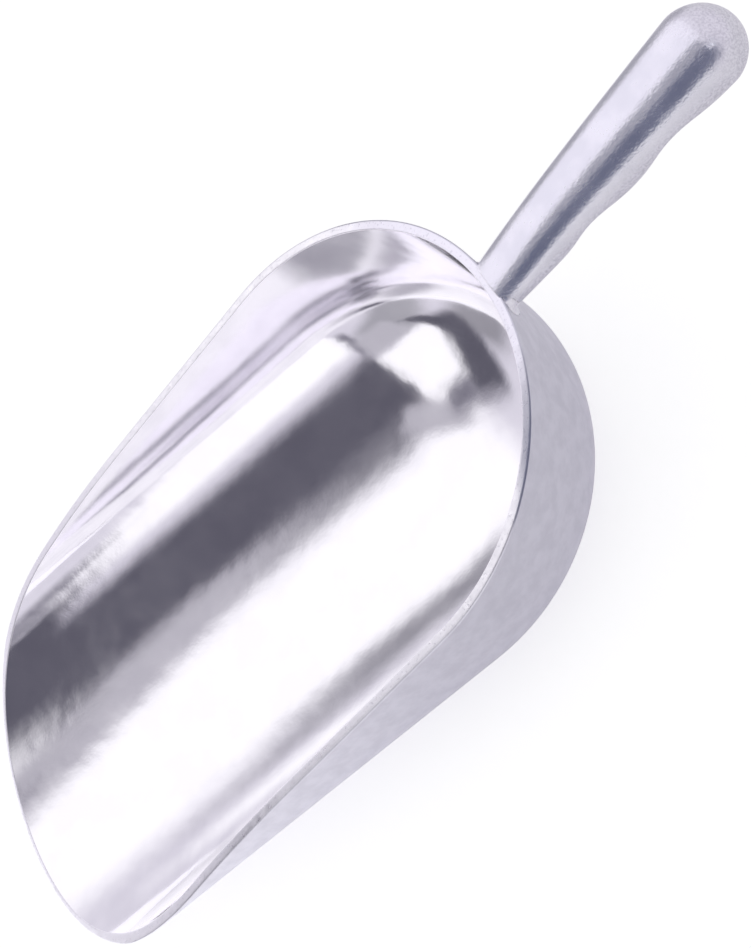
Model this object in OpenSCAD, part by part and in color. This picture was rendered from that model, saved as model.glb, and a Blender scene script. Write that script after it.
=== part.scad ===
// Ice scoop: a cast-aluminium trough with a domed back and a slanted rim, and a contoured grip
// that is socketed onto a stub on the back wall and closed with a dressed weld bead.
// The scoop rests on the flat land under the trough. +X runs from the dome's centre to the lip.

/* [Bowl] */
// Width of the trough at its shoulder, where the round bottom meets the side walls
bowl_w = 120; // [104:1:136]
// Height of the shoulder above the resting land
shoulder_h = 30; // [26:1:36]
// Distance from the dome's centre to the tip of the lip
lip_reach = 166; // [150:1:190]
// Wall thickness of the casting
wall = 2.6; // [2:0.1:4]
// Outward lean of the side walls and the back wall, in degrees
draft = 0.5; // [0.5:0.5:5]
// Depth that the flat resting land is ground into the round bottom
land_cut = 0.4; // [0.2:0.1:1]

/* [Rim] */
// Height of the rim at the rear of the dome
rim_h = 66; // [60:1:76]
// Fall of the straight part of the rim towards the lip, in degrees
rim_fall = 11.5; // [8:0.5:14]
// Distance from the dome's centre at which the rim starts to curve down
rim_bend_x = 60; // [40:1:75]
// Length of the rounded end of the lip, seen from above
lip_round_len = 53; // [45:1:65]
// Distance past the lip at which the rim's curve would reach the land, which blunts the lip's edge
lip_blunt = 2; // [1:0.5:4]

/* [Grip] */
// Length of the grip along its axis, from the back wall to the end of the butt
grip_len = 82; // [78:1:100]
// Angle at which the grip rises away from the back wall
grip_rise = 13.5; // [5:0.5:20]
// Height that the grip's root stands above the rim
grip_proud = 2; // [0:0.5:3]
// Diameter of the grip at its root
grip_root_d = 13; // [12:0.5:15]
// Diameter of the grip's bulbous butt
grip_butt_d = 21.5; // [19:0.5:24]
// Radius of the finger grooves under the grip
groove_r = 10; // [9:0.5:13]
// Depth of the finger grooves
groove_depth = 4; // [2:0.5:4.5]
// Distance of the front finger groove from the back wall
groove_front = 28; // [26:1:30]
// Spacing of the finger grooves
groove_pitch = 26; // [24:1:28]

/* [Joint] */
// Diameter of the stub on the back wall that carries the grip
stub_d = 6; // [4:0.5:7]
// Length of the stub behind the back wall
stub_len = 20; // [12:1:20]
// Gap round the stub and at its end, inside the grip's socket
stub_gap = 0.1; // [0.05:0.05:0.2]
// Radius of the weld bead round the root of the grip
bead_r = 1.5; // [1:0.1:2]

/* [Hidden] */
$fn = 120;

overlap = 1;               // how far trimming shapes run past what they trim
arc_steps = 24;            // facets in a quarter of the round bottom's section
half_w = bowl_w / 2;
form_top = rim_h + 20;     // the walls run past the rim and are trimmed to it
form_len = lip_reach + 10; // the trough runs past the lip and is trimmed to it

// Rim: a straight fall, then an arc that leaves it smoothly and meets the lip's tip
bend_h = rim_h - (rim_bend_x + half_w) * tan(rim_fall);
tip_dx = lip_reach + lip_blunt - rim_bend_x;
rim_r = (tip_dx * tip_dx + bend_h * bend_h) / (2 * (bend_h * cos(rim_fall) - tip_dx * sin(rim_fall)));
rim_cx = rim_bend_x - rim_r * sin(rim_fall);
rim_cz = bend_h - rim_r * cos(rim_fall);

// Grip: its axis meets the back wall where the top of its root stands just above the rim
root_r = grip_root_d / 2;
butt_r = grip_butt_d / 2;
root_z = rim_h + grip_proud - root_r / cos(grip_rise);
root_x = -wall_r(root_z);

// Weld bead: each end of its arc stands this many degrees above the grip's axis, just below the rim
bead_rise = asin((rim_h - bead_r - root_z) / root_r);

// Half of the trough's section, at inset 0 for the outside and at inset wall for the hollow:
// an elliptical bottom and a wall that leaves it tangent and leans out by the draft angle
function half_section(inset) =
    let (b = half_w - inset, c = shoulder_h + land_cut - inset, foot = atan(c / b * tan(draft)))
    let (foot_h = shoulder_h - c * sin(foot))
    [
        for (i = [0:arc_steps])
            let (t = 90 - (90 - foot) * i / arc_steps) [b * cos(t), shoulder_h - c * sin(t)],
        [b * cos(foot) + (form_top - foot_h) * tan(draft), form_top],
        [0, form_top]
    ];

// Outside radius of the domed back at a height above the shoulder
function wall_r(h) =
    let (foot = half_section(0)[arc_steps]) foot[0] + (h - foot[1]) * tan(draft);

// The trough as a solid: its section turned through the domed back, then drawn out to the lip
module trough_form(inset) {
    rotate(90) rotate_extrude(angle = 180) polygon(half_section(inset));
    rotate([90, 0, 90]) linear_extrude(form_len) {
        polygon(half_section(inset));
        mirror([1, 0]) polygon(half_section(inset));
    }
}

// Everything below the rim, seen from the side
module below_rim() {
    back_x = -bowl_w;
    back_h = rim_h - (back_x + half_w) * tan(rim_fall);
    rotate([90, 0, 0]) linear_extrude(bowl_w * 2, center = true) {
        polygon([[back_x, -overlap], [rim_bend_x, -overlap], [rim_bend_x, bend_h], [back_x, back_h]]);
        intersection() {
            translate([rim_cx, rim_cz]) circle(r = rim_r, $fn = 720);
            translate([rim_bend_x, -overlap]) square([form_len, bend_h + overlap]);
        }
    }
}

// Everything behind the lip's rounded edge, seen from above
module behind_lip() {
    round_x = lip_reach - lip_round_len;
    translate([-form_len, -bowl_w, -overlap]) cube([form_len + round_x, bowl_w * 2, form_top]);
    translate([round_x, 0, -overlap])
        scale([lip_round_len / half_w, 1, 1]) cylinder(h = form_top, r = half_w);
}

// Places its children at the root of the grip, with +Z along the grip's axis
module at_root() {
    translate([root_x, 0, root_z]) rotate([0, grip_rise - 90, 0]) children();
}

module bowl() {
    color("gainsboro") {
        difference() {
            intersection() {
                trough_form(0);
                below_rim();
                behind_lip();
            }
            trough_form(wall);
            translate([-form_len, -bowl_w, -form_top]) cube([form_len * 2, bowl_w * 2, form_top]);
        }
        difference() {
            at_root() translate([0, 0, -wall]) cylinder(h = wall + stub_len, d = stub_d);
            trough_form(wall / 2);
        }
    }
}

module handle() {
    color("silver") difference() {
        at_root() grip();
        trough_form(0);
        at_root() translate([0, 0, -root_r * 2])
            cylinder(h = root_r * 2 + stub_len + stub_gap, d = stub_d + 2 * stub_gap);
    }
}

// The grip's outside: a cone that grows tangent to the round butt, with finger grooves underneath
module grip() {
    butt_z = grip_len - butt_r;
    taper = asin((butt_r - root_r) / butt_z);
    difference() {
        union() {
            cylinder(h = butt_z - butt_r * sin(taper), r1 = root_r, r2 = butt_r * cos(taper));
            translate([0, 0, -root_r]) cylinder(h = root_r, r = root_r);
            translate([0, 0, butt_z]) sphere(r = butt_r);
        }
        for (i = [0, 1]) {
            groove_z = groove_front + i * groove_pitch;
            grip_r = root_r + (butt_r - root_r) * groove_z / butt_z;
            translate([-grip_r - groove_r + groove_depth, 0, groove_z])
                rotate([90, 0, 0]) cylinder(h = grip_butt_d * 2, r = groove_r, center = true);
        }
    }
}

// An arc of ring in the corner between the grip and the wall, which stops short of the rim
module weld_bead() {
    color("lightgray") difference() {
        translate([root_x, 0, root_z]) rotate([0, -90 - draft, 0]) rotate(90 - bead_rise)
            rotate_extrude(angle = 180 + 2 * bead_rise) translate([root_r, 0]) circle(r = bead_r, $fn = 32);
        trough_form(0);
        at_root() grip();
    }
}

bowl();
handle();
weld_bead();
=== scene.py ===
import math

import bmesh
import bpy
import numpy as np
from mathutils import Matrix, Vector


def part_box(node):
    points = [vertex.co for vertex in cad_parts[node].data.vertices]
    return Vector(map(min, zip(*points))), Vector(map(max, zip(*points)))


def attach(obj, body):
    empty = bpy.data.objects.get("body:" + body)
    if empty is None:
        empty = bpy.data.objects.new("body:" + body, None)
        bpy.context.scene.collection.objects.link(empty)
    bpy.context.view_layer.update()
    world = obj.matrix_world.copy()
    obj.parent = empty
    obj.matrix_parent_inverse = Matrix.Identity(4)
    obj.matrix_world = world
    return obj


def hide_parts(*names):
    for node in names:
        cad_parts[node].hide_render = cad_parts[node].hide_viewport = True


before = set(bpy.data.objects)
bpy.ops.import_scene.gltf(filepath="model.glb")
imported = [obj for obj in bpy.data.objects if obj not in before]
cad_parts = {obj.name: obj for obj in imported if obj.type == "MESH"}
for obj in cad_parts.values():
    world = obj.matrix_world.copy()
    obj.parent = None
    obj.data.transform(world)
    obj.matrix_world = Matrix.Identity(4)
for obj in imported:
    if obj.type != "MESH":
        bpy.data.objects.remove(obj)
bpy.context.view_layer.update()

MM = 0.001

# ---------------------------------------------------------------- the bowl's driving dimensions
WALL = 2.6 * MM                # thickness of the casting
SHOULDER_H = 30.0 * MM         # where the round bottom meets the side walls
LAND_CUT = 0.4 * MM            # depth of the flat resting land
LAND_SOFT = 0.05 * MM          # how softly the round bottom turns into the land
DRAFT = math.radians(0.5)      # outward lean of the walls
HALF_W = 60.0 * MM             # half the width at the shoulder
LIP_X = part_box("bowl")[1].x    # the tip of the lip
RIM_H = 66.0 * MM              # height of the rim at the rear
RIM_FALL = math.radians(11.5)  # fall of the straight part of the rim
RIM_BEND_X = 60.0 * MM         # where the rim starts to curve down
LIP_ROUND = 53.0 * MM          # length of the rounded end of the lip
LIP_BLUNT = 2.0 * MM           # how far past the lip the rim's curve would reach the land
FORM_TOP = RIM_H + 20.0 * MM   # the walls run past the rim and are trimmed to it
EDGE_IN = 0.3 * MM             # rounding of the rim's edge towards the hollow
EDGE_OUT = 0.7 * MM            # and towards the outside

# ---------------------------------------------------------------- the grip's driving dimensions
GRIP_LEN = 83.3 * MM           # along the chord, from the root to the end of the butt
GRIP_RISE = math.radians(15.8)
GRIP_DROP = 3.5 * MM           # how far the centre line sags below its root's direction at the butt
ROOT_R = 6.6 * MM
BUTT_R = 10.9 * MM
BUTT_TRIM = 0.35 * MM          # the swelling is held this much under BUTT_R
CAP_LEN = 10.5 * MM            # length of the round end of the butt
SWELL = 0.75                   # the power of the place along the grip at which it thickens
SAG = 1.5                      # and at which its centre line sags
ROOT_FLAT = 0.85               # the root's section is this much lower than it would be if round
ROOT_WIDEN = 0.39              # the share of that flattening that goes into its width
FLAT_SHARE = 0.35              # the share of the grip's length over which it turns round
GROOVES = ((55.8 * MM, 5.6 * MM, 7.7 * MM), (29.4 * MM, 4.6 * MM, 6.5 * MM))  # place, depth, half length
ROOT_PROUD = 2.0 * MM          # height that the root stands above the rim
ROOT_IN = 1.6 * MM             # how far the root's centre lies inside the back wall's shoulder line
GRIP_SUNK = 0.9 * MM           # how far the grip's end is sunk into the wall
GRIP_EDGE = 0.5 * MM           # rounding of that end

# ---------------------------------------------------------------- the weld's driving dimensions
WELD_SIZE = 2.2 * MM           # how far the fillet reaches along the grip and along the wall
WELD_RISE = math.radians(38)   # how far each end climbs above the grip's middle
WELD_FADE = math.radians(30)   # the stretch over which each end tapers off
WELD_LEAST = 0.02              # the taper's least value, before its root is taken
WELD_BELOW_RIM = 0.9 * MM
WELD_PROUD = 0.05 * MM         # the fillet's edge stands this much off the wall
WELD_SUNK = 0.5 * MM           # and its back is sunk this much into it
WELD_BACK = 0.08               # how far the back is drawn towards the grip's axis

# ---------------------------------------------------------------- how finely the skins are divided
SECTION_STEPS = 700
ROWS, DOME_COLUMNS, FRONT_COLUMNS = 70, 60, 130
KEEL_SHORT = 30.0 * MM         # the front's columns start on the keel, the last this far from the lip
ROW_EASE = 1.5                 # how much closer the rows stand towards the rim
EDGE_IN_STEPS, BAND_STEPS, EDGE_OUT_STEPS = 3, 5, 5
GRIP_AROUND, GRIP_ALONG = 120, 150
GRIP_EASE = 1.25               # how much closer the rings stand towards the butt
WELD_AROUND, WELD_ACROSS = 90, 9
HOLLOW, RIM, OUTSIDE = 0, 1, 2  # the bowl's material slots


# ================================================================ curves
def smooth_max_zero(v, soft):
    """The larger of v and 0, with the corner between them softened."""
    return 0.5 * (v + np.sqrt(v * v + soft * soft))


def smooth_step(t):
    t = np.clip(t, 0, 1)
    return t * t * (3 - 2 * t)


def ease_out(u, power):
    """0 to 1 with steps that shrink towards 1."""
    return 1 - (1 - u) ** power


def bend(a, c, b, t):
    """The curve from a to b that is pulled towards c, as [place on the curve, point, xyz]."""
    t = t[:, None, None]
    return (1 - t) ** 2 * a + 2 * t * (1 - t) * c + t ** 2 * b


def corner(a, c, b, steps):
    """The same curve without its two ends."""
    return bend(a, c, b, np.linspace(0, 1, steps + 2)[1:-1])


def towards(a, b, distance):
    """Each point of a moved towards its partner in b, but never quite half way."""
    almost_half, tiny = 0.45, 1e-9
    step = b - a
    length = np.linalg.norm(step, axis=-1, keepdims=True)
    return a + step * np.minimum(distance / np.maximum(length, tiny), almost_half)


# ================================================================ the bowl's surfaces
class Section:
    """Half of the trough's section: an elliptical bottom, then a wall that leaves it tangent."""

    def __init__(self, inset):
        b, c = HALF_W - inset, SHOULDER_H + LAND_CUT - inset
        foot = math.atan(c / b * math.tan(DRAFT))
        a = np.linspace(math.pi / 2, foot, SECTION_STEPS)
        foot_h = SHOULDER_H - c * math.sin(foot)
        self.y = np.append(b * np.cos(a), b * math.cos(foot) + (FORM_TOP - foot_h) * math.tan(DRAFT))
        self.z = np.append(SHOULDER_H - c * np.sin(a), FORM_TOP)
        self.q = np.append(0, np.cumsum(np.hypot(np.diff(self.y), np.diff(self.z))))  # length along it
        self.has_land = inset == 0

    def at(self, q):
        """(half width, height) at a length along the section from the keel."""
        y, z = np.interp(q, self.q, self.y), np.interp(q, self.q, self.z)
        if self.has_land:
            z = smooth_max_zero(z, LAND_SOFT)
        return y, z

    def half_width(self, z):
        return np.interp(z, self.z, self.y)

    def length_at_height(self, z):
        return np.interp(z, self.z, self.q)

    def length_at_width(self, y):
        return np.interp(y, self.y[:-1], self.q[:-1])


OUTER, INNER = Section(0), Section(WALL)


def rim_height(x):
    """Height of the rim's plane at x: a straight fall, then an arc that leaves it smoothly."""
    bend_h = RIM_H - (RIM_BEND_X + HALF_W) * math.tan(RIM_FALL)
    run = LIP_X + LIP_BLUNT - RIM_BEND_X
    radius = (run ** 2 + bend_h ** 2) / (2 * (bend_h * math.cos(RIM_FALL) - run * math.sin(RIM_FALL)))
    cx, cz = RIM_BEND_X - radius * math.sin(RIM_FALL), bend_h - radius * math.cos(RIM_FALL)
    arc = cz + np.sqrt(np.maximum(radius ** 2 - (x - cx) ** 2, 0))
    return np.where(x < RIM_BEND_X, RIM_H - (x + HALF_W) * math.tan(RIM_FALL), arc)


def dome_rim(section, angle):
    """Length along the section at which the dome's line at this angle from the rear meets the rim."""
    rounds = 12
    z = np.full_like(angle, RIM_H)
    for _ in range(rounds):
        z = rim_height(-section.half_width(z) * np.cos(angle))
    return section.length_at_height(z)


def front_rim(section, x):
    """Length along the section at which the rim, or the lip's rounded end in plan, meets it at x."""
    q = section.length_at_height(rim_height(x))
    u = np.clip((x - (LIP_X - LIP_ROUND)) / LIP_ROUND, 0, 1)
    round_half = HALF_W * np.sqrt(1 - u * u)
    return np.where(u > 0, np.minimum(q, section.length_at_width(round_half)), q)


def inner_tip_x():
    """Where the rim's plane comes down to the floor of the hollow."""
    lo, hi = RIM_BEND_X, LIP_X
    halvings = 50
    for _ in range(halvings):
        mid = (lo + hi) / 2
        if rim_height(mid) > INNER.z[0]:
            lo = mid
        else:
            hi = mid
    return lo


def surface_point(section, is_dome, station, q, keel_x, share):
    """Points of the bowl's skin: turned about the dome's axis, or drawn out along +X."""
    y, z = section.at(q)
    x_dome, y_dome = -y * np.cos(station), y * np.sin(station)
    x_front = keel_x + (station - keel_x) * share
    return np.stack([np.where(is_dome, x_dome, x_front), np.where(is_dome, y_dome, y), z], -1)


def bowl_grid(section, last_gap):
    """Half of one skin of the bowl as [column, row, xyz], from the rear round to the lip's tip, with
    its last row last_gap short of the rim, and the rim's own points as [column, xyz]."""
    tip_x = LIP_X if section is OUTER else inner_tip_x()
    angle = np.linspace(0, math.pi / 2, DOME_COLUMNS, endpoint=False)
    turn = np.linspace(0, math.pi / 2, FRONT_COLUMNS // 2)
    straight = np.linspace(0, tip_x - LIP_ROUND, FRONT_COLUMNS - len(turn), endpoint=False)
    x = np.append(straight, tip_x - LIP_ROUND + LIP_ROUND * np.sin(turn))
    station = np.append(angle, x)
    is_dome = np.arange(len(station)) < DOME_COLUMNS
    q_rim = np.append(dome_rim(section, angle), front_rim(section, x))
    q_rim[-1] = 0
    keel_x = np.append(np.zeros(DOME_COLUMNS), x / tip_x * (LIP_X - KEEL_SHORT))
    share = ease_out(np.linspace(0, 1, ROWS), ROW_EASE)
    reach = np.hypot(q_rim, np.where(is_dome, 0, station - keel_x))  # from the keel to the rim
    columns = []
    for i in range(len(station)):
        run = share * (1 - last_gap / reach[i])
        columns.append(surface_point(section, is_dome[i], station[i], run * q_rim[i], keel_x[i], run))
    return np.array(columns), surface_point(section, is_dome, station, q_rim, keel_x, 1.0)


def build_bowl():
    inner, rim_in = bowl_grid(INNER, EDGE_IN)
    outer, rim_out = bowl_grid(OUTER, EDGE_OUT)
    top = rim_out.copy()
    top[:, 2] = rim_height(rim_out[:, 0])
    band_in, band_out = towards(rim_in, top, EDGE_IN), towards(top, rim_in, EDGE_OUT)
    band = np.array([band_in + (band_out - band_in) * t for t in np.linspace(0, 1, BAND_STEPS)])
    edge_in = corner(inner[:, -1], rim_in, band_in, EDGE_IN_STEPS)
    edge_out = corner(band_out, top, outer[:, -1], EDGE_OUT_STEPS)
    half = np.concatenate([inner, edge_in.swapaxes(0, 1), band.swapaxes(0, 1),
                           edge_out.swapaxes(0, 1), outer[:, ::-1]], axis=1)
    mirrored = half[1:-1][::-1] * np.array([1, -1, 1])
    ring = np.concatenate([half, mirrored])
    band_end = ROWS + EDGE_IN_STEPS + BAND_STEPS
    region = np.full(ring.shape[1] - 1, HOLLOW)
    region[ROWS - 1:band_end] = RIM
    region[band_end:] = OUTSIDE
    return ring_mesh("scoop_bowl", ring, region, closed=True)


# ================================================================ mesh helpers
def ring_mesh(name, grid, region, closed):
    """A smooth mesh from a grid [column, row, xyz], with the first column joined to the last if
    closed, points in one place welded, and each row of faces in its region's material slot."""
    weld_within, too_small = 1e-6, 1e-7
    n, m = grid.shape[:2]
    bm = bmesh.new()
    verts = [bm.verts.new(p) for p in grid.reshape(-1, 3)]
    for i in range(n if closed else n - 1):
        k = (i + 1) % n
        for j in range(m - 1):
            corners = (i * m + j, k * m + j, k * m + j + 1, i * m + j + 1)
            face = bm.faces.new([verts[c] for c in corners])
            face.material_index = int(region[j])
            face.smooth = True
    bmesh.ops.remove_doubles(bm, verts=bm.verts, dist=weld_within)
    bmesh.ops.dissolve_degenerate(bm, dist=too_small, edges=bm.edges)
    bmesh.ops.recalc_face_normals(bm, faces=bm.faces)
    mesh = bpy.data.meshes.new(name)
    bm.to_mesh(mesh)
    bm.free()
    return new_object(name, mesh)


def new_object(name, mesh):
    piece = bpy.data.objects.new(name, mesh)
    bpy.context.scene.collection.objects.link(piece)
    return piece


def close_ends(piece):
    bm = bmesh.new()
    bm.from_mesh(piece.data)
    edges = [e for e in bm.edges if e.is_boundary]
    bmesh.ops.holes_fill(bm, edges=edges, sides=0)
    bmesh.ops.recalc_face_normals(bm, faces=bm.faces)
    bm.to_mesh(piece.data)
    bm.free()


# ================================================================ the grip
def grip_axes():
    along = np.array([-math.cos(GRIP_RISE), 0, math.sin(GRIP_RISE)])
    up = np.array([math.sin(GRIP_RISE), 0, math.cos(GRIP_RISE)])
    return along, up


def grip_root():
    """The centre of the root's section: its top stands just above the rim at the rear wall."""
    drop = ROOT_R * ROOT_FLAT / math.cos(GRIP_RISE)
    return np.array([-HALF_W + ROOT_IN, 0, RIM_H + ROOT_PROUD - drop - ROOT_IN * math.tan(GRIP_RISE)])


def grip_point(s, theta):
    """A point of the grip's skin, at share s of its length and angle theta round it."""
    radius = ROOT_R + (BUTT_R - ROOT_R) * np.power(np.maximum(s, 0), SWELL)
    cap = np.clip((s * GRIP_LEN - (GRIP_LEN - CAP_LEN)) / CAP_LEN, 0, 1)
    close = np.sqrt(1 - cap ** 2)
    radius = np.minimum(radius, BUTT_R - BUTT_TRIM) * close
    roundness = smooth_step(s / FLAT_SHARE)
    flat = ROOT_FLAT + (1 - ROOT_FLAT) * roundness
    wide = 1 + (1 - ROOT_FLAT) * ROOT_WIDEN * (1 - roundness)
    drop = -GRIP_DROP * np.power(np.maximum(s, 0), SAG)
    dent = sum(depth * np.exp(-((s * GRIP_LEN - at) / length) ** 2) for at, depth, length in GROOVES)
    side = radius * wide * np.cos(theta)
    lift = drop + radius * flat * np.sin(theta) + dent * close * np.clip(-np.sin(theta), 0, 1)
    along, up = grip_axes()
    across = np.array([0, 1, 0])
    return grip_root() + (s * GRIP_LEN)[..., None] * along + lift[..., None] * up + side[..., None] * across


def share_at_wall(theta, depth):
    """Share of the grip's length at which each line round it meets the back wall, sunk by depth."""
    lo, hi = np.full_like(theta, -0.1), np.full_like(theta, 0.2)
    halvings = 40
    for _ in range(halvings):
        mid = (lo + hi) / 2
        p = grip_point(mid, theta)
        outside = np.hypot(p[..., 0], p[..., 1]) > OUTER.half_width(p[..., 2]) - depth
        lo, hi = np.where(outside, lo, mid), np.where(outside, mid, hi)
    return (lo + hi) / 2


def build_grip():
    theta = np.linspace(0, 2 * math.pi, GRIP_AROUND, endpoint=False)
    end = share_at_wall(theta, GRIP_SUNK)
    start = end + GRIP_EDGE / GRIP_LEN
    u = ease_out(np.linspace(0, 1, GRIP_ALONG), GRIP_EASE)
    body = grip_point(start[:, None] + (1 - start)[:, None] * u, np.repeat(theta[:, None], GRIP_ALONG, 1))
    rim = grip_point(end, theta)
    centre = rim.mean(0)
    inward = towards(rim, centre[None], GRIP_EDGE)
    rounded = corner(inward, rim, body[:, 0], EDGE_IN_STEPS).swapaxes(0, 1)
    middle = np.repeat(centre[None, None], GRIP_AROUND, 0)
    grid = np.concatenate([middle, (inward[:, None] + middle) / 2, inward[:, None], rounded, body], axis=1)
    return ring_mesh("scoop_grip", grid, np.zeros(grid.shape[1] - 1), closed=True)


# ================================================================ the weld
def snap_to_wall(p, proud):
    """The points moved in plan onto the back wall's outer skin, standing proud of it."""
    r = np.hypot(p[:, 0], p[:, 1])
    k = (OUTER.half_width(p[:, 2]) + proud) / r
    return p * np.stack([k, k, np.ones_like(k)], -1)


def build_weld():
    """A dressed fillet in the corner between the grip and the back wall, below the rim."""
    along, _ = grip_axes()
    theta = np.linspace(-math.pi - WELD_RISE, WELD_RISE, WELD_AROUND)
    share = share_at_wall(theta, 0)
    root = grip_point(share, theta)
    to_end = np.minimum(theta - theta[0], theta[-1] - theta)
    reach = WELD_SIZE * np.sqrt(np.clip(to_end / WELD_FADE, WELD_LEAST, 1))
    on_grip = grip_point(share + reach / GRIP_LEN, theta)
    axis_point = grip_root() + ((root - grip_root()) @ along)[:, None] * along
    away = root - axis_point
    away /= np.linalg.norm(away, axis=-1, keepdims=True)
    on_wall = root + away * reach[:, None]
    on_wall[:, 2] = np.minimum(on_wall[:, 2], rim_height(on_wall[:, 0]) - WELD_BELOW_RIM)
    on_wall = snap_to_wall(on_wall, WELD_PROUD)
    face = bend(on_grip, root, on_wall, np.linspace(0, 1, WELD_ACROSS))
    behind = snap_to_wall(root, -WELD_SUNK)
    inside = behind + (axis_point - behind) * WELD_BACK
    grid = np.concatenate([face, inside[None]]).swapaxes(0, 1)
    grid = np.concatenate([grid, grid[:, :1]], axis=1)
    piece = ring_mesh("scoop_weld", grid, np.zeros(grid.shape[1] - 1), closed=False)
    close_ends(piece)
    return piece


# ================================================================ node helpers
class Nodes:
    """Short calls for building a node tree."""

    def __init__(self, tree):
        self.tree = tree

    def new(self, kind, **settings):
        node = self.tree.nodes.new(kind)
        for key, value in settings.items():
            setattr(node, key, value)
        return node

    def put(self, socket, value):
        """Links a socket to another, or sets its value; a colour may leave out its alpha."""
        if isinstance(value, bpy.types.NodeSocket):
            self.tree.links.new(value, socket)
        elif isinstance(value, tuple) and socket.type == "RGBA":
            socket.default_value = (*value, 1) if len(value) == 3 else value
        else:
            socket.default_value = value

    def place(self):
        """The place on the object, in metres."""
        return self.new("ShaderNodeTexCoord").outputs["Object"]

    def split(self, vector):
        node = self.new("ShaderNodeSeparateXYZ")
        self.put(node.inputs[0], vector)
        return node.outputs

    def math(self, operation, a, b=0.0, c=0.0):
        node = self.new("ShaderNodeMath", operation=operation)
        for socket, value in zip(node.inputs, (a, b, c)):
            self.put(socket, value)
        return node.outputs[0]

    def vector(self, operation, a, b=(0, 0, 0), scale=1.0):
        node = self.new("ShaderNodeVectorMath", operation=operation)
        self.put(node.inputs[0], a)
        self.put(node.inputs[1], b)
        if operation == "SCALE":
            self.put(node.inputs["Scale"], scale)
        return node.outputs["Value" if operation == "DOT_PRODUCT" else 0]

    def ramp(self, value, lo, hi, out_lo=0.0, out_hi=1.0):
        """The value's place between lo and hi, eased, as out_lo to out_hi."""
        node = self.new("ShaderNodeMapRange", interpolation_type="SMOOTHSTEP")
        for socket, item in zip(node.inputs, (value, lo, hi, out_lo, out_hi)):
            self.put(socket, item)
        return node.outputs[0]

    def mix(self, factor, a, b):
        node = self.new("ShaderNodeMix", data_type="RGBA")
        for socket, item in ((node.inputs[0], factor), (node.inputs[6], a), (node.inputs[7], b)):
            self.put(socket, item)
        return node.outputs[2]

    def noise(self, where, size, detail=2.0, rough=0.5):
        """Noise about 0.5 whose lumps are as long as size, in the units of where."""
        node = self.new("ShaderNodeTexNoise")
        self.put(node.inputs["Vector"], where)
        self.put(node.inputs["Scale"], 1 / size)
        self.put(node.inputs["Detail"], detail)
        self.put(node.inputs["Roughness"], rough)
        return node.outputs[0]

    def bump(self, height, distance, normal=None):
        node = self.new("ShaderNodeBump")
        self.put(node.inputs["Height"], height)
        self.put(node.inputs["Distance"], distance)
        if normal is not None:
            self.put(node.inputs["Normal"], normal)
        return node.outputs[0]


# ================================================================ materials
# Below, a ramp's first two numbers pick the range of the noise, or the place, that it eases over.
def new_metal(name):
    """A bare metal, its nodes, its sockets and the place on the object."""
    mat = bpy.data.materials.new(name)
    mat.use_nodes = True
    n = Nodes(mat.node_tree)
    surface = mat.node_tree.nodes["Principled BSDF"].inputs
    n.put(surface["Metallic"], 1.0)
    return mat, n, surface, n.place()


def polished_hollow():
    """The hollow: buffed bright, with a fine orange-peel wave left by the buffing wheel."""
    mat, n, surface, at = new_metal("polished_hollow")
    cloud = n.noise(at, 14 * MM, detail=3)
    n.put(surface["Base Color"], n.mix(n.ramp(cloud, 0.35, 0.65), (0.83, 0.82, 0.855), (0.88, 0.87, 0.90)))
    n.put(surface["Roughness"], n.ramp(cloud, 0.3, 0.7, 0.08, 0.13))
    wave = n.bump(n.noise(at, 7 * MM, detail=1), 0.05 * MM)
    n.put(surface["Normal"], n.bump(n.noise(at, 1.1 * MM, detail=3, rough=0.6), 0.007 * MM, wave))
    return mat


def ground_rim():
    """The rim: linished flat, bright, with small nicks and pores."""
    mat, n, surface, at = new_metal("ground_rim")
    pores = n.ramp(n.noise(at, 0.7 * MM, rough=0.6), 0.30, 0.42)
    n.put(surface["Base Color"], n.mix(pores, (0.74, 0.73, 0.77), (0.91, 0.90, 0.93)))
    n.put(surface["Roughness"], n.ramp(n.noise(at, 2.5 * MM, detail=3), 0.3, 0.7, 0.27, 0.40))
    nicks = n.bump(n.noise(at, 2.0 * MM, detail=3, rough=0.6), 0.045 * MM)
    n.put(surface["Normal"], n.bump(pores, 0.02 * MM, nicks))
    return mat


def satin_outside():
    """The outside: tumbled to a soft satin, with a faint mottle and a fine grain."""
    mat, n, surface, at = new_metal("satin_outside")
    mottle = n.noise(at, 5 * MM, detail=4, rough=0.6)
    grain = n.noise(at, 0.7 * MM, rough=0.6)
    n.put(surface["Base Color"], n.mix(n.ramp(mottle, 0.3, 0.7), (0.66, 0.655, 0.70), (0.73, 0.725, 0.77)))
    n.put(surface["Roughness"], n.ramp(mottle, 0.3, 0.7, 0.38, 0.34))
    soft = n.bump(n.noise(at, 5 * MM), 0.04 * MM)
    n.put(surface["Normal"], n.bump(grain, 0.025 * MM, soft))
    return mat


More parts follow.
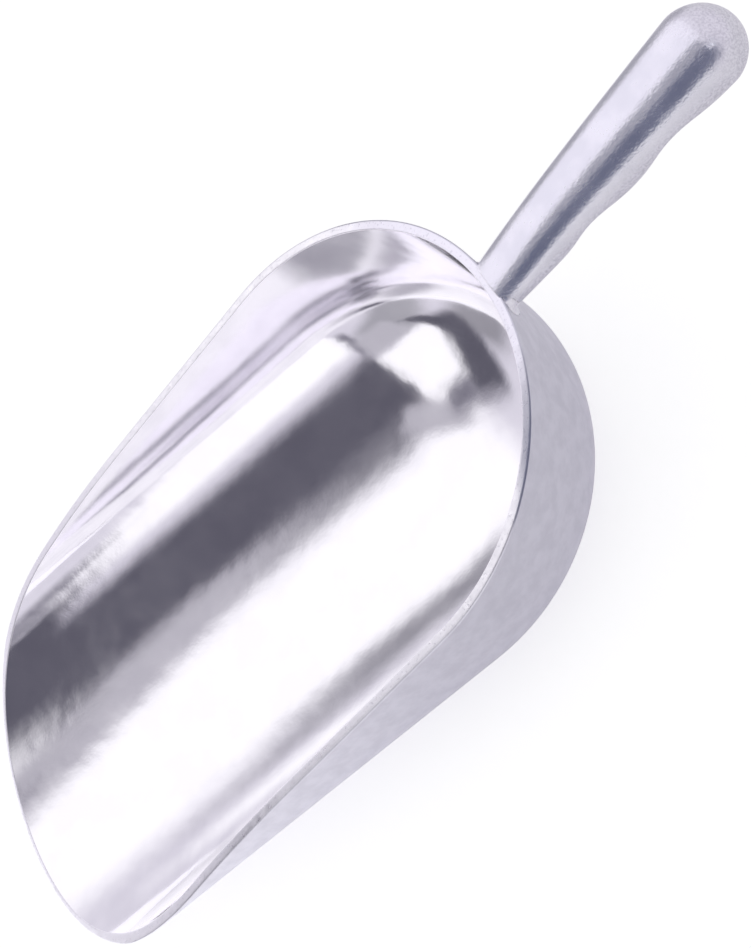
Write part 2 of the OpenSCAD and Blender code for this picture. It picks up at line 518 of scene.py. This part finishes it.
def grip_metal():
    """The grip: buffed on top, left hazy and grained underneath and round the butt, where its colour is also
    painted darker as painted shade.
    """
    mat, n, surface, at = new_metal("grip_metal")
    facing = n.split(n.new("ShaderNodeNewGeometry").outputs["Normal"])
    # painted shade: the downward-facing side is darker as well as hazier
    under = n.ramp(facing[2], 0.35, -0.25)
    butt = n.ramp(n.split(at)[0], -124 * MM, -136 * MM)
    haze_and_painted_shade = n.math("MAXIMUM", under, n.math("MULTIPLY", butt, 0.7))
    lengthways = n.vector("MULTIPLY", at, (0.25, 1.0, 1.0))
    scratch = n.noise(lengthways, 0.5 * MM, detail=3, rough=0.7)
    grain = n.noise(at, 0.55 * MM, detail=3, rough=0.7)
    cloud = n.noise(at, 9 * MM, detail=3)
    clean = n.mix(n.ramp(cloud, 0.35, 0.65), (0.80, 0.80, 0.84), (0.87, 0.865, 0.90))
    # painted shade: the hazy parts take this darker grained colour
    grained_painted_shade = n.mix(n.ramp(grain, 0.35, 0.62), (0.56, 0.55, 0.60), (0.86, 0.85, 0.89))
    n.put(surface["Base Color"], n.mix(haze_and_painted_shade, clean, grained_painted_shade))
    scuffs = n.math("ADD", n.ramp(cloud, 0.3, 0.7, 0.19, 0.26), n.ramp(scratch, 0.55, 0.75, 0.0, 0.08))
    n.put(surface["Roughness"], n.math("MULTIPLY_ADD", haze_and_painted_shade, 0.10, scuffs))
    wave = n.bump(n.noise(at, 5 * MM), 0.05 * MM)
    dimples = n.bump(n.noise(at, 0.9 * MM, detail=3, rough=0.65), 0.10 * MM, wave)
    n.put(surface["Normal"], n.bump(scratch, 0.012 * MM, dimples))
    return mat


def weld_metal():
    """The weld: filed and brushed, still a little lumpy."""
    mat, n, surface, at = new_metal("weld_metal")
    lumps = n.noise(at, 1.8 * MM, detail=3, rough=0.6)
    n.put(surface["Base Color"], n.mix(n.ramp(lumps, 0.35, 0.65), (0.84, 0.83, 0.86), (0.94, 0.93, 0.96)))
    n.put(surface["Roughness"], n.ramp(lumps, 0.3, 0.7, 0.22, 0.36))
    n.put(surface["Normal"], n.bump(lumps, 0.12 * MM))
    return mat


# ================================================================ the light's colours
GLARE = (1.46, 1.42, 1.50)
WHITE = (1.22, 1.20, 1.24)
SKY = (0.80, 0.77, 0.86)
GREY = (0.58, 0.56, 0.62)
HAZE = (0.45, 0.44, 0.485)
MID = (0.36, 0.35, 0.39)
SMOKE = (0.22, 0.21, 0.26)
DARK = (0.125, 0.12, 0.155)
DAYLIGHT = (0.68, 0.68, 0.68)        # the plain light on everything
BACKDROP = (0.98, 0.98, 0.98)        # what the camera sees behind the floor
FLOOR_GLOW = (0.45, 0.45, 0.45)      # the floor as the camera sees it
MIRRORED_FLOOR_SHADE = (0.10, 0.085, 0.14)     # painted shade: the floor as the metal mirrors it, behind the scoop
MIRRORED_FLOOR_LIGHT = (0.55, 0.53, 0.60)     # painted light: the floor as the metal mirrors it, in front of the scoop

# ---------------------------------------------------------------- the tent's lights and flags
# The tent is drawn on a flat chart. A direction's distance from the chart's middle is its angle
# from straight up, in degrees, and its bearing on the chart is its bearing in the scene. Each line
# gives a colour, then its rectangle's centre, half size, turn and the widths over which its edges
# fade, all in degrees. Later lines cover earlier ones.
FLAGS = (
    (WHITE, (17, -35), (23, 21), 10, (14, 18)),        # a big soft light behind the far wall
    (WHITE, (25, -70), (12, 4), 0, (12, 8)),           # a strip light under it
    (GREY, (27, -59), (6, 3.5), 0, (8, 6)),            # the gap between the two
    (MID, (17, -56), (9, 4.5), 8, (10, 7)),            # and its darker end
    (WHITE, (14, 64), (16, 24), -7, (5, 10)),          # a big light behind the near wall
    (MID, (21, -8.5), (12, 4.5), 10, (8, 7)),          # the lower edge of what hangs overhead
    (DARK, (11, 9), (20.5, 18.5), 5, (3, 15)),         # what hangs overhead
    (SKY, (90, 40), (60.7, 54), 0, (1.2, 12)),         # the wall that closes the tent past the lip
    (SMOKE, (31, 45), (2.4, 17), -5, (3, 14)),         # the frame it hangs on
    (HAZE, (62, 42), (24, 17), 24, (14, 14)),          # a soft shade across that wall
    (MID, (82, -4), (17, 17), 0, (14, 16)),            # low down, straight past the lip
    (GREY, (41, 32), (10.5, 11), 0, (4, 10)),          # the wall beside the window
    (WHITE, (43.7, 4), (14.4, 17), 0, (1.2, 4)),       # the window
    (GREY, (28.5, -13), (11, 4.5), -38, (6, 5)),       # the sill under it
    (DARK, (59, -4), (24, 8), 57, (12, 6)),            # the dark frame past it
    (SMOKE, (38, -14), (5, 4.5), -20, (4, 6)),         # the foot of that frame
)

# What is seen after two, three and more reflections, where the walls of the hollow mirror each
# other: the even colour of the dome, then its flags
DEEP_LOOKS = (
    (WHITE, (
        (HAZE, (46, 54), (9, 11), 0, (12, 14)),
        (GREY, (74, 40), (12, 12), 0, (14, 14)),
        (GREY, (44, -15), (12, 40), 0, (20, 30)),
    )),
    (GLARE, (
        (HAZE, (27, 0), (15, 22), 0, (14, 24)),
        (GREY, (50, 20), (12, 16), 0, (16, 20)),
    )),
    (GLARE, (
        (GREY, (30, -10), (16, 20), 0, (20, 20)),
    )),
)
DEEP_FROM = 3            # the ray depth after two reflections
CHART_RIPPLE = 9.0       # length of the slight waves in the flags' edges, in degrees
CHART_WARP = 3.0         # and their strength


# ================================================================ world
def chart_place(n):
    """The ray's direction as a place on the chart, slightly rippled."""
    x, y, z = n.split(n.vector("NORMALIZE", n.new("ShaderNodeTexCoord").outputs["Generated"]))
    from_up = n.math("DEGREES", n.math("ARCCOSINE", z))
    flat = n.math("SQRT", n.math("ADD", n.math("MULTIPLY", x, x), n.math("MULTIPLY", y, y)))
    spread = n.math("DIVIDE", from_up, n.math("MAXIMUM", flat, 1e-4))
    chart = n.new("ShaderNodeCombineXYZ")
    n.put(chart.inputs[0], n.math("MULTIPLY", spread, x))
    n.put(chart.inputs[1], n.math("MULTIPLY", spread, y))
    ripple = n.new("ShaderNodeTexNoise")
    n.put(ripple.inputs["Vector"], chart.outputs[0])
    n.put(ripple.inputs["Scale"], 1 / CHART_RIPPLE)
    shift = n.vector("SUBTRACT", ripple.outputs["Color"], (0.5, 0.5, 0.5))
    return n.vector("ADD", chart.outputs[0], n.vector("SCALE", shift, scale=CHART_WARP))


def flag_mask(n, place, middle, half, turn, soft):
    """1 inside a turned rectangle on the chart, easing to 0 across its soft edges."""
    a = math.radians(turn)
    offset = n.vector("SUBTRACT", place, (*middle, 0.0))
    reach = []
    for axis, size, fade in zip(((math.cos(a), math.sin(a), 0), (-math.sin(a), math.cos(a), 0)), half, soft):
        along = n.math("ABSOLUTE", n.vector("DOT_PRODUCT", offset, axis))
        reach.append(n.ramp(along, size - fade / 2, size + fade / 2, 1.0, 0.0))
    return n.math("MULTIPLY", *reach)


def flagged(n, place, color, flags):
    for flag_color, *shape in flags:
        color = n.mix(flag_mask(n, place, *shape), color, flag_color)
    return color


def add_world():
    """A studio tent: a pale dome with soft lights and flags. Only what the metal mirrors shows
    them; plain light comes from an even dome, and the camera sees an even backdrop."""
    world = bpy.data.worlds.new("world")
    world.use_nodes = True
    n = Nodes(world.node_tree)
    place = chart_place(n)
    path = n.new("ShaderNodeLightPath").outputs
    color = flagged(n, place, SKY, FLAGS)
    for depth, (dome, flags) in enumerate(DEEP_LOOKS, DEEP_FROM):
        is_deep = n.math("GREATER_THAN", path["Ray Depth"], depth - 0.5)
        color = n.mix(is_deep, color, flagged(n, place, dome, flags))
    color = n.mix(path["Is Glossy Ray"], DAYLIGHT, color)
    color = n.mix(path["Is Camera Ray"], color, BACKDROP)
    n.put(n.tree.nodes["Background"].inputs["Color"], color)
    bpy.context.scene.world = world


# ================================================================ floor, cards and camera
def add_floor():
    """A white paper floor. The metal mirrors it with painted shade, darkest behind the scoop, and with
    painted light in front of it.
    """
    half, rear_x, front_x = 3.0, -10 * MM, 150 * MM
    mesh = bpy.data.meshes.new("floor")
    bm = bmesh.new()
    bmesh.ops.create_grid(bm, x_segments=1, y_segments=1, size=half)
    bm.to_mesh(mesh)
    bm.free()
    floor = new_object("floor", mesh)
    mat = bpy.data.materials.new("floor_paper")
    mat.use_nodes = True
    n = Nodes(mat.node_tree)
    paper = mat.node_tree.nodes["Principled BSDF"].inputs
    n.put(paper["Base Color"], (0.9, 0.9, 0.9))
    n.put(paper["Roughness"], 0.9)
    is_mirrored = n.new("ShaderNodeLightPath").outputs["Is Glossy Ray"]
    # painted shade and painted light in the floor's reflection: darkest behind the scoop, lighter in front
    painted_floor_reflection = n.mix(n.ramp(n.split(n.place())[0], rear_x, front_x), MIRRORED_FLOOR_SHADE, MIRRORED_FLOOR_LIGHT)
    n.put(paper["Emission Color"], n.mix(is_mirrored, FLOOR_GLOW, painted_floor_reflection))
    n.put(paper["Emission Strength"], 1.0)
    mesh.materials.append(mat)


def add_card(name, color, edges, fades=()):
    """A glowing card between two edges of equally many points, which only the metal mirrors.

    Each of its fades (axis, clear, solid) lets it clear away along an axis between two places."""
    verts = [tuple(p) for edge in edges for p in edge]
    k = len(edges[0])
    mesh = bpy.data.meshes.new(name)
    mesh.from_pydata(verts, [], [(i, i + 1, k + i + 1, k + i) for i in range(k - 1)])
    card = new_object(name, mesh)
    mat = bpy.data.materials.new(name)
    mat.use_nodes = True
    mat.node_tree.nodes.clear()
    n = Nodes(mat.node_tree)
    place = n.split(n.place())
    opacity = 1.0
    for axis, clear, solid in fades:
        opacity = n.math("MULTIPLY", opacity, n.ramp(place[axis], clear, solid))
    glow = n.new("ShaderNodeEmission")
    n.put(glow.inputs[0], color)
    body = n.new("ShaderNodeMixShader")
    n.put(body.inputs[0], opacity)
    n.put(body.inputs[1], n.new("ShaderNodeBsdfTransparent").outputs[0])
    n.put(body.inputs[2], glow.outputs[0])
    n.put(n.new("ShaderNodeOutputMaterial").inputs[0], body.outputs[0])
    mesh.materials.append(mat)
    card.visible_camera = card.visible_diffuse = card.visible_shadow = False


def add_grip_card(name, color, strip, ends=(-25 * MM, GRIP_LEN + 12 * MM)):
    """A card along the grip between two places; strip lists (side, height) from its axis, in mm."""
    along, up = grip_axes()
    across = [grip_root() + side * MM * np.array([0, 1, 0]) + height * MM * up for side, height in strip]
    add_card(name, color, [[p + s * along for p in across] for s in ends])


def add_cards():
    """The grip mirrors a pale card above it, a grey edge beside it, and a grey and a dark card with
    a small lamp on the camera's side. The lip mirrors a dark card held over its front."""
    past_butt = GRIP_LEN + 45 * MM
    add_grip_card("bright_card", (0.98, 0.95, 1.06), ((-60, 22), (10, 30)))
    add_grip_card("edge_card", (0.42, 0.41, 0.47), ((-62, 14), (-62, -25)))
    add_grip_card("grey_card", (0.40, 0.395, 0.46), ((10.5, 30), (23, 29)))
    add_grip_card("dark_card", (0.15, 0.16, 0.24), ((24, 28.5), (38, 24), (60, 5)), (-25 * MM, past_butt))
    lamp_ends = (past_butt - 25 * MM, past_butt - 15 * MM)
    add_grip_card("small_lamp", (3.2, 3.15, 3.3), ((28, 26), (36, 23)), lamp_ends)
    near, far, left, right, height = 185 * MM, 290 * MM, -60 * MM, 95 * MM, 150 * MM
    fades = ((0, near, near + 20 * MM), (1, left, left + 40 * MM), (1, right, right - 20 * MM))
    add_card("lip_card", DARK, [[(x, left, height), (x, right, height)] for x in (near, far)], fades)


def add_camera():
    """The camera looks at its target from the photograph's side, turned about its own axis by roll."""
    target, distance = Vector((1.34, -4.12, 27.47)) * MM, 428.6 * MM
    azimuth, elevation, roll = math.radians(-154.16), math.radians(54.48), math.radians(-62.14)
    back = Vector((math.sin(azimuth) * math.cos(elevation), -math.cos(azimuth) * math.cos(elevation),
                   math.sin(elevation)))
    data = bpy.data.cameras.new("camera")
    data.lens = 60.55
    data.clip_start = 10 * MM
    camera = new_object("camera", data)
    turn = (-back).to_track_quat("-Z", "Y").to_matrix() @ Matrix.Rotation(roll, 3, "Z")
    camera.matrix_world = Matrix.Translation(target + back * distance) @ turn.to_4x4()
    bpy.context.scene.camera = camera


# ================================================================ the scene
bowl = build_bowl()
grip = build_grip()
weld = build_weld()
for piece, materials, node, slot in (
    (bowl, (polished_hollow(), ground_rim(), satin_outside()), "bowl", "bowl_casting"),
    (grip, (grip_metal(),), "handle", "grip_casting"),
    (weld, (weld_metal(),), "weld_bead", "dressed_weld"),
):
    for mat in materials:
        piece.data.materials.append(mat)
    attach(piece, "root")
    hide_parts(node)
add_floor()
add_cards()
add_camera()
add_world()
bpy.context.scene.view_settings.view_transform = "Standard"
